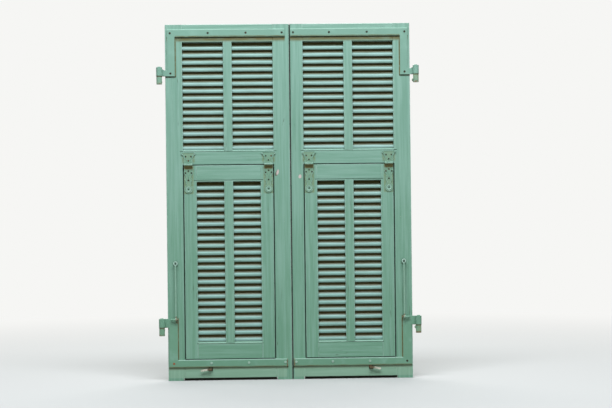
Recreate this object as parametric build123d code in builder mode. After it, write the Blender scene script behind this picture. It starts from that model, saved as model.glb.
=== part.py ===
"""A pair of louvred window shutters with top-hung louvred flaps.

Millimetres. +Z is up, the front face looks towards -Y, and +X is to the right from the front.
The origin is midway between the outer edges of the pair, level with the feet, on the back faces.
Every piece is drawn where it lies on the left leaf, and the right leaf's pieces are mirrored.
"""
import os
from math import cos, radians, sin, sqrt

from build123d import *

os.makedirs("parts", exist_ok=True)

# Whole pair, closed
pair_width = 1101.0
leaf_height = 1600.0
leaf_thickness = 34.0
meeting_gap = 4.0

# Leaf frame
hinge_stile_width = 76.0
left_meeting_width = 74.0
right_meeting_width = 57.0
top_rail_height = 78.0
sill_height = 1040.0
mid_rail_height = 70.0
bottom_rail_top = 95.0
foot_height = 12.0
foot_inset = 8.0
muntin_width = 39.0
sill_bevel = 9.0
head_lip = 10.0
head_fall = 3.5
arris = 1.5

# Tenons of rails and muntins, in mortises with room for glue
tenon_length = 45.0
tenon_thickness = 11.0
tenon_shoulder = 12.0
muntin_tenon = 18.0
glue_room = 0.1
tenon_end_room = 1.0

# Louvre slats, sloping down towards the front, and the housings they are let into
slat_pitch = 32.4
slat_width = 38.0
slat_thickness = 9.0
slat_slope = 52.0
slat_nose = 2.6
slat_face_inset = 1.4
housing_depth = 9.0
housing_clearance = 0.15
slat_end_room = 0.3
slat_top_room = 2.7

# Top-hung flap
flap_gap = 2.5
stop_room = 1.0
flap_stile_width = 57.0
flap_top_rail_height = 73.0
flap_bottom_rail_height = 79.0
flap_muntin_width = 40.0
stop_width = 28.0
stop_thickness = 10.0
stop_lap = 9.0
joint_gap = 0.3

# Corner straps of the hinges
strap_width = 34.0
strap_thickness = 5.0
strap_edge = 10.0
strap_bevel = 0.8
strap_end_margin = 20.0
top_strap_drop = 22.0
bottom_strap_rise = 60.0

# Wall pintles
pin_radius = 7.0
pin_clearance = 0.1
eye_radius = 13.5
pintle_offset = 26.0
eye_height = 40.0
upper_eye_drop = 232.0
lower_eye_bottom = 240.0
band_height = 27.0
band_run_out = 2.0
bearing_gap = 0.3
pintle_body_height = 36.0
pintle_body_radius = 12.5
pin_tip = 3.0
neck_radius = 10.0
tail_radius = 8.0

# Flap hinges
crown_width = 66.0
crown_height = 49.0
crown_foot = 8.0
crown_sway = 3.0
crown_flare = 18.0
crown_curl = 7.0
crown_nib = 3.5
hinge_inset = 2.0
knuckle_length = 38.0
knuckle_drop = 0.5
knuckle_radius = 6.5
knuckle_pin_radius = 2.5
knuckle_gap = 0.3
face_clearance = 0.3
hinge_plate = 3.0
flap_strap_length = 127.0
strap_ear_depth = 34.0
strap_ear_half = 5.5
strap_ear_reach = 2.0
strap_neck_depth = 50.0
strap_neck_half = 12.0
strap_belly_depth = 70.0
strap_belly_half = 15.0
strap_waist_depth = 86.0
strap_waist_half = 9.0
strap_disc_radius = 18.0
disc_tip_half = 5.0

# Flap stay on the hinge stile
stay_distance = 37.0
stay_length = 252.0
stay_half = 3.2
stay_ring_radius = 9.5
stay_ring_hole = 5.2
stay_ring_thickness = 5.0
stay_eye_radius = 7.5
stay_eye_width = 9.0
staple_radius = 3.0
staple_span = 32.0
staple_outer_reach = 22.4
staple_leg = 5.0
stay_clearance = 0.1
peg_radius = 3.0
peg_length = 19.0

# Catch under the bottom strap
catch_distance = 190.0
catch_length = 46.0
catch_drop = 6.0
catch_width = 9.0
catch_thickness = 4.0
catch_pin_radius = 2.5
catch_ear = 3.0

# Flat sliding bolts on the back of the left leaf
bolt_width = 16.0
bolt_thickness = 6.0
bolt_length = 240.0
bolt_clearance = 0.3
bolt_end_inset = 8.0
bolt_plate_length = 190.0
bolt_plate_width = 36.0
bolt_plate_thickness = 2.5
bolt_keep_height = 14.0
bolt_keep_wall = 3.0
bolt_knob_length = 20.0
bolt_knob = 10.0

# Worked out from the values above
hinge_edge = -pair_width / 2
meeting_sum = left_meeting_width + right_meeting_width
opening_width = (pair_width - meeting_gap - meeting_sum) / 2 - hinge_stile_width
flap_thickness = leaf_thickness - stop_room
front = -leaf_thickness
opening_x0 = hinge_edge + hinge_stile_width
opening_x1 = opening_x0 + opening_width
louvre_top = leaf_height - top_rail_height
mid_rail_bottom = sill_height - mid_rail_height
slat_depth = slat_width * cos(radians(slat_slope)) + slat_thickness * sin(radians(slat_slope))
slat_rise = slat_width * sin(radians(slat_slope)) + slat_thickness * cos(radians(slat_slope))
slat_y = front + slat_face_inset + slat_depth / 2
flap_x0 = opening_x0 + flap_gap
flap_x1 = opening_x1 - flap_gap
flap_z0 = bottom_rail_top + flap_gap
flap_z1 = mid_rail_bottom - flap_gap
flap_back = front + flap_thickness
flap_louvre_x0 = flap_x0 + flap_stile_width
flap_louvre_x1 = flap_x1 - flap_stile_width
flap_louvre_z0 = flap_z0 + flap_bottom_rail_height
flap_louvre_z1 = flap_z1 - flap_top_rail_height
pin_x = hinge_edge - pintle_offset
pin_y = front - eye_radius
tail_end = -(front - 2 * eye_radius)
knuckle_y = front - face_clearance - knuckle_radius
knuckle_z = mid_rail_bottom - knuckle_drop
upper_eye_bottom = leaf_height - upper_eye_drop
strap_front = front - strap_thickness
stay_x = hinge_edge + stay_distance
stay_y = strap_front - stay_eye_radius - face_clearance
staple_z = lower_eye_bottom + eye_height - staple_radius - 2 * face_clearance
catch_x = hinge_edge + catch_distance
catch_y = front - catch_ear - face_clearance - catch_width / sqrt(2)
catch_z = bottom_strap_rise - catch_width


def save(piece, name):
    """Label a finished piece and write it out."""
    piece.part.label = name
    export_step(piece.part, f"parts/{name}.step")


def hand(side):
    """Turn a finished piece of the left leaf into the right leaf's."""
    if side == "right":
        mirror(about=Plane.YZ, mode=Mode.REPLACE)


def board(x0, x1, y0, y1, z0, z1, mode=Mode.ADD):
    """A squared piece of timber or metal between two corners."""
    with Locations(((x0 + x1) / 2, (y0 + y1) / 2, (z0 + z1) / 2)):
        Box(x1 - x0, y1 - y0, z1 - z0, mode=mode)


def ease(piece, y, length=arris):
    """Take the sharp arris off the long edges that lie on one face."""
    long_edges = piece.edges().filter_by(GeomType.LINE).filter_by_position(Axis.Y, y - 0.01, y + 0.01)
    chamfer(long_edges.sort_by(SortBy.LENGTH)[-2:], length=length)


def tenon(x0, x1, y_mid, z0, z1, room=0.0, mode=Mode.ADD):
    """A tenon, or with room around it the mortise for one."""
    half = tenon_thickness / 2 + room
    board(x0, x1, y_mid - half, y_mid + half, z0 - room, z1 + room, mode)


def slat_heights(z_low, z_high):
    """Centre heights of the slats of one opening, lowest first, as near the pitch as fits."""
    count = round((z_high - z_low) / slat_pitch)
    pitch = (z_high - z_low) / count
    top = z_high - slat_top_room - slat_rise / 2
    return [top - pitch * i for i in reversed(range(count))]


def cut_housings(wall_x, depth, heights):
    """Slanted housings for a row of slats, cut into the timber from a side face."""
    with BuildSketch(Plane.YZ.offset(wall_x), mode=Mode.PRIVATE) as mouths:
        with Locations(*[(slat_y, z) for z in heights]):
            Rectangle(
                slat_width + 2 * housing_clearance,
                slat_thickness + 2 * housing_clearance,
                rotation=slat_slope,
            )
    extrude(mouths.sketch, amount=depth, mode=Mode.SUBTRACT)


with BuildSketch() as slat_profile:
    Rectangle(slat_width, slat_thickness)
    chamfer(slat_profile.vertices().group_by(Axis.X)[0], length=slat_nose)


def lay_slats(x0, x1, heights):
    """A row of slats threaded through the muntin, their ends in the stiles' housings."""
    reach = housing_depth - slat_end_room
    with BuildSketch(Plane.YZ.offset(x0 - reach), mode=Mode.PRIVATE) as ends:
        with Locations(*[(slat_y, z) for z in heights]):
            add(slat_profile.sketch, rotation=slat_slope)
    extrude(ends.sketch, amount=x1 - x0 + 2 * reach)


upper_heights = slat_heights(sill_height, louvre_top)
flap_heights = slat_heights(flap_louvre_z0, flap_louvre_z1)
leaf_tenon_y = front / 2
flap_tenon_y = front + flap_thickness / 2

# Tenon heights of the three rails, shared by the rails and the mortises in the stiles
leaf_tenons = [
    (louvre_top + tenon_shoulder, leaf_height - tenon_shoulder),
    (mid_rail_bottom + tenon_shoulder, sill_height - tenon_shoulder),
    (foot_height + tenon_shoulder, bottom_rail_top - tenon_shoulder),
]
flap_tenons = [
    (flap_louvre_z1 + tenon_shoulder, flap_z1 - tenon_shoulder),
    (flap_z0 + tenon_shoulder, flap_louvre_z0 - tenon_shoulder),
]


def cut_mortises(wall_x, way, y_mid, spans):
    """Blind mortises from a side face, way +1 for a stile on the right of it."""
    depth = way * (tenon_length + tenon_end_room)
    x0, x1 = sorted((wall_x, wall_x + depth))
    for z0, z1 in spans:
        tenon(x0, x1, y_mid, z0, z1, glue_room, Mode.SUBTRACT)


def section_bar(x0, x1, points):
    """A bar along X with the section given as (y, z) points."""
    with BuildSketch(Plane.YZ.offset(x0), mode=Mode.PRIVATE) as section:
        with BuildLine():
            Polyline(*points, close=True)
        make_face()
    extrude(section.sketch, amount=x1 - x0)


def sill_line(y1, z, bevel=sill_bevel):
    """Upper edge of a rail, back to front, bevelled towards the front as a small sill."""
    return [(y1, z), (front + bevel, z), (front, z - bevel)]


def head_line(y1, z):
    """Lower edge of a rail over slats, front to back, falling behind a lip to hide the top slat's back."""
    return [(front, z), (front + head_lip, z), (y1, z - head_fall)]


def leaf_frame(side, meeting_width):
    """Stiles, rails, muntin and fixed slats of one leaf."""
    outer = opening_x1 + meeting_width
    middle = (opening_x0 + opening_x1) / 2
    muntin_x0, muntin_x1 = middle - muntin_width / 2, middle + muntin_width / 2

    with BuildPart() as hinge_stile:
        board(hinge_edge, opening_x0, front, 0, 0, leaf_height)
        ease(hinge_stile, front)
        board(opening_x0 - foot_inset, opening_x0, front, 0, 0, foot_height, Mode.SUBTRACT)
        cut_mortises(opening_x0, -1, leaf_tenon_y, leaf_tenons)
        cut_housings(opening_x0, -housing_depth, upper_heights)
        hand(side)
    save(hinge_stile, f"{side}_hinge_stile")

    with BuildPart() as meeting_stile:
        board(opening_x1, outer, front, 0, 0, leaf_height)
        ease(meeting_stile, front)
        board(opening_x1, opening_x1 + foot_inset, front, 0, 0, foot_height, Mode.SUBTRACT)
        cut_mortises(opening_x1, 1, leaf_tenon_y, leaf_tenons)
        cut_housings(opening_x1, housing_depth, upper_heights)
        hand(side)
    save(meeting_stile, f"{side}_meeting_stile")

    rails = {
        "top_rail": (louvre_top, leaf_height, arris),
        "mid_rail": (mid_rail_bottom, sill_height, sill_bevel),
        "bottom_rail": (foot_height, bottom_rail_top, arris),
    }
    for (name, (z0, z1, bevel)), (t0, t1) in zip(rails.items(), leaf_tenons):
        with BuildPart() as rail:
            if name == "top_rail":
                section_bar(opening_x0, opening_x1, head_line(0, z0) + sill_line(0, z1, bevel))
            else:
                section_bar(opening_x0, opening_x1,
                            [(front, z0), (0, z0)] + sill_line(0, z1, bevel))
            tenon(opening_x0 - tenon_length, opening_x0, leaf_tenon_y, t0, t1)
            tenon(opening_x1, opening_x1 + tenon_length, leaf_tenon_y, t0, t1)
            if name == "top_rail":
                mortise_z = (louvre_top - head_fall, louvre_top + muntin_tenon + tenon_end_room)
            elif name == "mid_rail":
                mortise_z = (sill_height - muntin_tenon - tenon_end_room, sill_height)
            if name != "bottom_rail":
                cheek = muntin_width / 2 - tenon_shoulder / 2 + glue_room
                half = tenon_thickness / 2 + glue_room
                board(middle - cheek, middle + cheek, leaf_tenon_y - half, leaf_tenon_y + half,
                      *mortise_z, Mode.SUBTRACT)
            if name == "mid_rail":
                cut_housings(opening_x0, opening_width, upper_heights[:1])
            hand(side)
        save(rail, f"{side}_{name}")

    with BuildPart() as muntin:
        section_bar(muntin_x0, muntin_x1,
                    sill_line(0, sill_height)[::-1] + head_line(0, louvre_top)[::-1])
        ease(muntin, front)
        cheek = muntin_width / 2 - tenon_shoulder / 2
        board(middle - cheek, middle + cheek, leaf_tenon_y - tenon_thickness / 2,
              leaf_tenon_y + tenon_thickness / 2, sill_height - muntin_tenon,
              louvre_top + muntin_tenon)
        cut_housings(muntin_x0, muntin_width, upper_heights)
        hand(side)
    save(muntin, f"{side}_louvre_muntin")

    with BuildPart() as slats:
        lay_slats(opening_x0, opening_x1, upper_heights)
        hand(side)
    save(slats, f"{side}_louvre_slats")

    with BuildPart() as stops:
        overhang = stop_width - flap_gap - stop_lap
        stop_z0 = bottom_rail_top - overhang
        stop_z1 = mid_rail_bottom + overhang
        for x0 in (opening_x0 - overhang, opening_x1 + overhang - stop_width):
            board(x0, x0 + stop_width, 0, stop_thickness,
                  stop_z0 + stop_width + joint_gap, stop_z1 - stop_width - joint_gap)
        for z0 in (stop_z0, stop_z1 - stop_width):
            board(opening_x0 - overhang, opening_x1 + overhang, 0, stop_thickness,
                  z0, z0 + stop_width)
        hand(side)
    save(stops, f"{side}_flap_stops")


def flap_frame(side):
    """The top-hung flap's own stiles, rails, muntin and slats."""
    middle = (flap_x0 + flap_x1) / 2
    muntin_x0, muntin_x1 = middle - flap_muntin_width / 2, middle + flap_muntin_width / 2
    cheek = flap_muntin_width / 2 - tenon_shoulder / 2
    stiles = {
        "flap_hinge_stile": (flap_x0, flap_louvre_x0, flap_louvre_x0, -1),
        "flap_meeting_stile": (flap_louvre_x1, flap_x1, flap_louvre_x1, 1),
    }
    for name, (x0, x1, wall_x, way) in stiles.items():
        with BuildPart() as stile:
            board(x0, x1, front, flap_back, flap_z0, flap_z1)
            ease(stile, front)
            cut_mortises(wall_x, way, flap_tenon_y, flap_tenons)
            cut_housings(wall_x, way * housing_depth, flap_heights)
            hand(side)
        save(stile, f"{side}_{name}")

    rails = {
        "flap_top_rail": (flap_louvre_z1, flap_z1, arris),
        "flap_bottom_rail": (flap_z0, flap_louvre_z0, sill_bevel),
    }
    for (name, (z0, z1, bevel)), (t0, t1) in zip(rails.items(), flap_tenons):
        with BuildPart() as rail:
            if name == "flap_top_rail":
                lower = head_line(flap_back, z0)
            else:
                lower = [(front, z0), (flap_back, z0)]
            section_bar(flap_louvre_x0, flap_louvre_x1, lower + sill_line(flap_back, z1, bevel))
            tenon(flap_louvre_x0 - tenon_length, flap_louvre_x0, flap_tenon_y, t0, t1)
            tenon(flap_louvre_x1, flap_louvre_x1 + tenon_length, flap_tenon_y, t0, t1)
            deep = muntin_tenon + tenon_end_room
            if name == "flap_top_rail":
                mortise_z = (z0 - head_fall, z0 + deep)
            else:
                mortise_z = (z1 - deep, z1)
            half = tenon_thickness / 2 + glue_room
            board(middle - cheek - glue_room, middle + cheek + glue_room,
                  flap_tenon_y - half, flap_tenon_y + half, *mortise_z, Mode.SUBTRACT)
            if name == "flap_bottom_rail":
                cut_housings(flap_louvre_x0, flap_louvre_x1 - flap_louvre_x0, flap_heights[:1])
            hand(side)
        save(rail, f"{side}_{name}")

    with BuildPart() as muntin:
        section_bar(muntin_x0, muntin_x1,
                    sill_line(flap_back, flap_louvre_z0)[::-1]
                    + head_line(flap_back, flap_louvre_z1)[::-1])
        ease(muntin, front)
        board(middle - cheek, middle + cheek, flap_tenon_y - tenon_thickness / 2,
              flap_tenon_y + tenon_thickness / 2, flap_louvre_z0 - muntin_tenon,
              flap_louvre_z1 + muntin_tenon)
        cut_housings(muntin_x0, flap_muntin_width, flap_heights)
        hand(side)
    save(muntin, f"{side}_flap_muntin")

    with BuildPart() as slats:
        lay_slats(flap_louvre_x0, flap_louvre_x1, flap_heights)
        hand(side)
    save(slats, f"{side}_flap_slats")


def corner_strap(side, name, outline, eye_bottom):
    """A flat corner strap with a rolled eye for the wall pintle."""
    with BuildPart() as strap:
        with BuildSketch(Plane.XZ.offset(leaf_thickness)) as flat:
            with BuildLine():
                Polyline(*outline, close=True)
            make_face()
        extrude(amount=strap_thickness)
        rim = strap.faces().sort_by(Axis.Y)[0].edges().filter_by(GeomType.LINE)
        chamfer(rim.filter_by_position(Axis.X, hinge_edge + 1, pair_width), length=strap_bevel)
        with Locations((pin_x, pin_y, eye_bottom + eye_height / 2)):
            Cylinder(eye_radius, eye_height)
            Cylinder(pin_radius + pin_clearance, eye_height, mode=Mode.SUBTRACT)
        hand(side)
    save(strap, f"{side}_{name}")


def straps(side):
    """The two corner straps of a leaf, which carry it on the wall pintles, alike on both leaves."""
    arm_x0 = hinge_edge + strap_edge
    arm_x1 = arm_x0 + strap_width
    end_x = opening_x1 + left_meeting_width - strap_end_margin

    z1 = leaf_height - top_strap_drop
    z0 = z1 - strap_width
    band_z0 = upper_eye_bottom
    band_z1 = upper_eye_bottom + band_height
    corner_strap(side, "top_strap", [
        (pin_x, band_z0), (arm_x1, band_z0), (arm_x1, z0), (end_x, z0), (end_x, z1),
        (arm_x0, z1), (arm_x0, band_z1), (hinge_edge - band_run_out, band_z1),
        (pin_x, upper_eye_bottom + eye_height),
    ], upper_eye_bottom)

    z0 = bottom_strap_rise
    z1 = z0 + strap_width
    band_z0 = lower_eye_bottom
    band_z1 = lower_eye_bottom + eye_height
    low_x0 = arm_x0 - strap_edge / 2
    corner_strap(side, "bottom_strap", [
        (pin_x, band_z0), (low_x0, band_z0), (low_x0, z0), (end_x, z0), (end_x, z1),
        (arm_x1, z1), (arm_x1, band_z1), (pin_x, band_z1),
    ], lower_eye_bottom)


hinge_reach = hinge_inset + knuckle_length / 2
hinge_centres = [flap_x0 + hinge_reach, flap_x1 - hinge_reach]
crown_base = knuckle_radius + face_clearance * 2

# Half outlines of the flap hinge, about the knuckle's middle
with BuildSketch() as crown_profile:
    with BuildLine():
        half = knuckle_length / 2
        tip = crown_width / 2
        top = crown_base + crown_height
        foot = crown_base + crown_foot
        Polyline((0, crown_base), (half, crown_base), (half, foot))
        ThreePointArc((half, foot), (half + crown_sway, top - crown_flare), (tip, top - crown_curl))
        Polyline((tip, top - crown_curl), (tip, top - crown_nib), (tip - crown_nib, top), (0, top))
        mirror(about=Plane.YZ)
    make_face()

with BuildSketch() as flap_strap_profile:
    with BuildLine():
        half = knuckle_length / 2
        end_z = strap_disc_radius - flap_strap_length
        disc_top = end_z + sqrt(strap_disc_radius**2 - strap_neck_half**2)
        disc_foot = end_z - sqrt(strap_disc_radius**2 - disc_tip_half**2)
        Polyline((0, -crown_base), (half, -crown_base), (half, strap_ear_half - strap_ear_depth),
                 (half + strap_ear_reach, -strap_ear_depth),
                 (half, -strap_ear_half - strap_ear_depth), (strap_neck_half, -strap_neck_depth),
                 (strap_belly_half, -strap_belly_depth), (strap_waist_half, -strap_waist_depth),
                 (strap_neck_half, disc_top))
        ThreePointArc((strap_neck_half, disc_top), (strap_disc_radius, end_z),
                      (disc_tip_half, disc_foot))
        Line((disc_tip_half, disc_foot), (0, end_z - strap_disc_radius))
        mirror(about=Plane.YZ)
    make_face()


def flap_hinges(side):
    """Crown plates with riveted pins on the leaf, and the straps that turn on them."""
    middle_half = knuckle_length / 6
    outer_half = (knuckle_length / 2 - middle_half - knuckle_gap) / 2
    outer_x = middle_half + knuckle_gap + outer_half
    places = [(x, knuckle_y, knuckle_z) for x in hinge_centres]

    with BuildPart() as crowns:
        with BuildSketch(Plane.XZ.offset(leaf_thickness)):
            with Locations(*[(x, knuckle_z) for x in hinge_centres]):
                add(crown_profile.sketch)
        extrude(amount=hinge_plate)
        for x in hinge_centres:
            for shift in (-outer_x, outer_x):
                board(x + shift - outer_half, x + shift + outer_half, front - hinge_plate, front,
                      knuckle_z, knuckle_z + crown_base)
                with Locations((x + shift, knuckle_y, knuckle_z)):
                    Cylinder(knuckle_radius, 2 * outer_half, rotation=(0, 90, 0))
        with Locations(*places):
            Cylinder(knuckle_pin_radius, 2 * outer_x, rotation=(0, 90, 0))
        hand(side)
    save(crowns, f"{side}_hinge_crowns")

    with BuildPart() as flap_straps:
        with BuildSketch(Plane.XZ.offset(leaf_thickness)):
            with Locations(*[(x, knuckle_z) for x in hinge_centres]):
                add(flap_strap_profile.sketch)
        extrude(amount=hinge_plate)
        for x in hinge_centres:
            board(x - middle_half, x + middle_half, front - hinge_plate, front,
                  knuckle_z - crown_base, knuckle_z)
        with Locations(*places):
            Cylinder(knuckle_radius, 2 * middle_half, rotation=(0, 90, 0))
            Cylinder(knuckle_pin_radius + pin_clearance, 2 * middle_half, rotation=(0, 90, 0),
                     mode=Mode.SUBTRACT)
        hand(side)
    save(flap_straps, f"{side}_flap_straps")


def stay(side):
    """The flap stay: a bar hung in a staple, with a ring that drops over a peg."""
    ring_z = staple_z + stay_length
    with BuildPart() as stay_bar:
        hub = stay_eye_radius
        with Locations((stay_x, stay_y, staple_z)):
            Cylinder(hub, stay_eye_width, rotation=(0, 90, 0))
        board(stay_x - stay_half, stay_x + stay_half, stay_y - stay_half, stay_y + stay_half,
              staple_z, ring_z - (stay_ring_radius + stay_ring_hole) / 2)
        with Locations((stay_x, stay_y, ring_z)):
            Cylinder(stay_ring_radius, stay_ring_thickness, rotation=(90, 0, 0))
            Cylinder(stay_ring_hole, stay_ring_thickness, rotation=(90, 0, 0), mode=Mode.SUBTRACT)
        with Locations((stay_x, stay_y, staple_z)):
            Cylinder(staple_radius + stay_clearance, stay_eye_width, rotation=(0, 90, 0),
                     mode=Mode.SUBTRACT)
        hand(side)
    save(stay_bar, f"{side}_stay_bar")

    left = stay_x - staple_outer_reach
    right = left + staple_span
    with BuildPart() as fixings:
        with Locations((stay_x, front - peg_length / 2, ring_z)):
            Cylinder(peg_radius, peg_length, rotation=(90, 0, 0))
        with Locations(((left + right) / 2, stay_y, staple_z)):
            Cylinder(staple_radius, staple_span, rotation=(0, 90, 0))
        for x in (left, right - staple_leg):
            board(x, x + staple_leg, stay_y, strap_front,
                  staple_z - staple_radius, staple_z + staple_radius)
        hand(side)
    save(fixings, f"{side}_stay_fixings")


def catch(side):
    """The small catch below the bottom strap: a bracket and its tongue."""
    half = catch_width / 2
    room = face_clearance
    with BuildPart() as bracket:
        board(catch_x - catch_width, catch_x + catch_width, front - catch_ear, front,
              catch_z - half - room - catch_ear, catch_z + half + room + catch_ear)
        for z in (catch_z - half - room - catch_ear, catch_z + half + room):
            board(catch_x - half, catch_x + half, catch_y - half, front, z, z + catch_ear)
        with Locations((catch_x, catch_y, catch_z)):
            Cylinder(catch_pin_radius, catch_width + 2 * room)
        hand(side)
    save(bracket, f"{side}_catch_bracket")

    with BuildPart() as tongue:
        with BuildSketch(Plane.XZ.offset(-catch_y - catch_thickness / 2)):
            with BuildLine():
                tip_x = catch_x - catch_length
                bend_x = catch_x - half - catch_ear / 2
                Polyline((catch_x, catch_z - half), (catch_x, catch_z + half),
                         (bend_x, catch_z + half), (tip_x + half, catch_z + half - catch_drop),
                         (tip_x, catch_z - catch_drop),
                         (tip_x + half, catch_z - half - catch_drop), (bend_x, catch_z - half),
                         close=True)
            make_face()
        extrude(amount=catch_thickness)
        board(catch_x - half, catch_x + half, catch_y - half, catch_y + half,
              catch_z - half, catch_z + half)
        with Locations((catch_x, catch_y, catch_z)):
            Cylinder(catch_pin_radius + pin_clearance, catch_width, mode=Mode.SUBTRACT)
        hand(side)
    save(tongue, f"{side}_catch_tongue")


def pintles(side):
    """The two wall pintles of one side, with round tails that go into the wall."""
    with BuildPart() as pair:
        for eye_bottom in (upper_eye_bottom, lower_eye_bottom):
            shoulder = eye_bottom - bearing_gap
            base = shoulder - pintle_body_height
            pin_top = eye_bottom + eye_height + pin_tip
            with Locations((pin_x, pin_y, (base + shoulder) / 2)):
                Cylinder(pintle_body_radius, pintle_body_height)
            with Locations((pin_x, pin_y, (shoulder + pin_top) / 2)):
                Cylinder(pin_radius, pin_top - shoulder)
            with Locations((pin_x, (pin_y + front) / 2, (base + shoulder) / 2)):
                Cylinder(neck_radius, front - pin_y, rotation=(90, 0, 0))
            with Locations((pin_x, (front + tail_end) / 2, (base + shoulder) / 2)):
                Cylinder(tail_radius, tail_end - front, rotation=(90, 0, 0))
        hand(side)
    save(pair, f"{side}_pintles")


def bolts():
    """Flat sliding bolts at the head and foot of the left leaf's meeting stile, drawn back."""
    x = opening_x1 + left_meeting_width / 2
    y0 = bolt_plate_thickness + bolt_clearance
    y1 = y0 + bolt_thickness
    half = bolt_width / 2
    ends = {"top_bolt": (leaf_height - bolt_end_inset, -1), "bottom_bolt": (bolt_end_inset, 1)}
    with BuildPart() as keeps:
        for end_z, inward in ends.values():
            plate_z = end_z + inward * bolt_length / 2
            half_plate = bolt_plate_length / 2
            board(x - bolt_plate_width / 2, x + bolt_plate_width / 2, 0, bolt_plate_thickness,
                  plate_z - half_plate, plate_z + half_plate)
            for shift in (-half_plate, half_plate - bolt_keep_height):
                z0, z1 = plate_z + shift, plate_z + shift + bolt_keep_height
                wall = bolt_clearance + bolt_keep_wall
                board(x - half - wall, x + half + wall, bolt_plate_thickness, y1 + wall, z0, z1)
                board(x - half - bolt_clearance, x + half + bolt_clearance,
                      bolt_plate_thickness, y1 + bolt_clearance, z0, z1, Mode.SUBTRACT)
    save(keeps, "left_bolt_keeps")

    for name, (end_z, inward) in ends.items():
        middle = end_z + inward * bolt_length / 2
        with BuildPart() as bolt:
            board(x - half, x + half, y0, y1, middle - bolt_length / 2, middle + bolt_length / 2)
            board(x - bolt_knob / 2, x + bolt_knob / 2, y1, y1 + bolt_knob_length,
                  middle - bolt_knob / 2, middle + bolt_knob / 2)
        save(bolt, f"left_{name}")


for side, meeting_width in (("left", left_meeting_width), ("right", right_meeting_width)):
    leaf_frame(side, meeting_width)
    flap_frame(side)
    straps(side)
    flap_hinges(side)
    stay(side)
    catch(side)
    pintles(side)
bolts()
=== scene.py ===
"""Looks of a pair of louvred window shutters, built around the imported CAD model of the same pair."""
import math
import random

import bpy
from mathutils import Matrix, Vector


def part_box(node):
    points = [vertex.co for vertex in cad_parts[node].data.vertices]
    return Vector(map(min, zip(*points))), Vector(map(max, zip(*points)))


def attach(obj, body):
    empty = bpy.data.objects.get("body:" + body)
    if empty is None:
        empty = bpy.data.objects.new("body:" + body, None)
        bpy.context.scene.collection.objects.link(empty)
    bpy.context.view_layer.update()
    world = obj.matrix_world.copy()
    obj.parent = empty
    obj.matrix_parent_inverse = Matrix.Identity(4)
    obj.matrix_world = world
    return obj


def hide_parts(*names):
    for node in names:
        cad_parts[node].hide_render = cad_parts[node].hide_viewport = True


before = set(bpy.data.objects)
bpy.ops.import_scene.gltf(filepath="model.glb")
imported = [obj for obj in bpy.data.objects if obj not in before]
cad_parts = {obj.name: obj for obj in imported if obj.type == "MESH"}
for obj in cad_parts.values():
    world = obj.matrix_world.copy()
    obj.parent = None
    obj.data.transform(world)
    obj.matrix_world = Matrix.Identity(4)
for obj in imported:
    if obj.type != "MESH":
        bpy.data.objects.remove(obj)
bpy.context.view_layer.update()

bl_info = {
    "name": "Louvred shutters",
    "version": (1, 0, 0),
    "blender": (4, 5, 0),
    "location": "3D View > Sidebar > Shutters",
    "description": "Timber, slats, forged ironwork and paint of a pair of louvred shutters",
    "category": "Object",
}

MM = 0.001
SIDES = {"left": -1, "right": 1}
UPRIGHTS = ("hinge_stile", "meeting_stile", "louvre_muntin")
RAILS = ("top_rail", "mid_rail", "bottom_rail")
FLAP_UPRIGHTS = ("flap_hinge_stile", "flap_meeting_stile", "flap_muntin")
FLAP_RAILS = ("flap_top_rail", "flap_bottom_rail")


def srgb(text):
    """A hex colour as the four linear numbers that Blender wants."""
    parts = [int(text[i:i + 2], 16) / 255 for i in (1, 3, 5)]
    return tuple(p / 12.92 if p <= 0.04045 else ((p + 0.055) / 1.055) ** 2.4 for p in parts) + (1.0,)


def colour_property(name, text, description):
    return bpy.props.FloatVectorProperty(
        name=name, description=description, subtype="COLOR", size=4, min=0, max=1, default=srgb(text))


class ShutterPaint(bpy.types.PropertyGroup):
    """Colours of the paint and of what shows through it."""

    high: colour_property("Paint high up", "#81AA97", "Sun-bleached oil paint near the head")
    low: colour_property("Paint low down", "#6F9E82", "The same paint near the foot, still deep")
    # Paler at each slat's nose: chalked paint and a painted highlight from the sky
    slat: colour_property("Slat edge", "#A3CBC2", "Chalked paint on a slat's rain-washed lower half")
    # Darker further up each slat: painted shade of the gap
    slat_middle_shade: colour_property("Slat middle", "#566E5E", "Paint further up a slat")
    # Laid at the back of each slat: street dirt and painted shade deep in the gap
    soot_and_gap_shade: colour_property("Street dirt", "#5C5026", "Dust and soot that rain never reaches")
    rust: colour_property("Rust", "#7A4A2A", "Rust that bleeds from the ironwork")
    primer: colour_property("Primer", "#CDBDB6", "Old pinkish primer in chips of the paint")


class ShutterSlats(bpy.types.PropertyGroup):
    """Sizes of the louvre slats."""

    width: bpy.props.FloatProperty(
        name="Width", description="Across the slat, nose to back", default=38 * MM, unit="LENGTH")
    thickness: bpy.props.FloatProperty(
        name="Thickness", description="Of the planed slat", default=9 * MM, unit="LENGTH")
    slope: bpy.props.FloatProperty(
        name="Slope", description="Down towards the street", default=math.radians(52), subtype="ANGLE")
    upper_count: bpy.props.IntProperty(
        name="Fixed slats", description="Slats above the mid rail", default=15)
    flap_count: bpy.props.IntProperty(
        name="Flap slats", description="Slats in the flap", default=22)
    bow: bpy.props.FloatProperty(
        name="Bow", description="Most that a slat has bowed between its housings",
        default=0.5 * MM, unit="LENGTH")


class ShutterStage(bpy.types.PropertyGroup):
    """Camera and light."""

    distance: bpy.props.FloatProperty(
        name="Camera distance", description="From the camera to the back faces",
        default=7.5, unit="LENGTH")
    lens: bpy.props.FloatProperty(name="Lens", description="Focal length in millimetres", default=97.6)
    key: bpy.props.FloatProperty(
        name="Key light", description="Power of the large soft light above the street side",
        default=372, subtype="POWER")
    sky: bpy.props.FloatProperty(
        name="Sky", description="Strength of the even light from all round", default=0.42)


# Selection and editing


def deselect():
    """Leaves nothing selected, because an operator acts on all that is."""
    if bpy.context.mode != "OBJECT":
        bpy.ops.object.mode_set(mode="OBJECT")
    bpy.ops.object.select_all(action="DESELECT")


def only(piece):
    deselect()
    piece.select_set(True)
    bpy.context.view_layer.objects.active = piece


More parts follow.
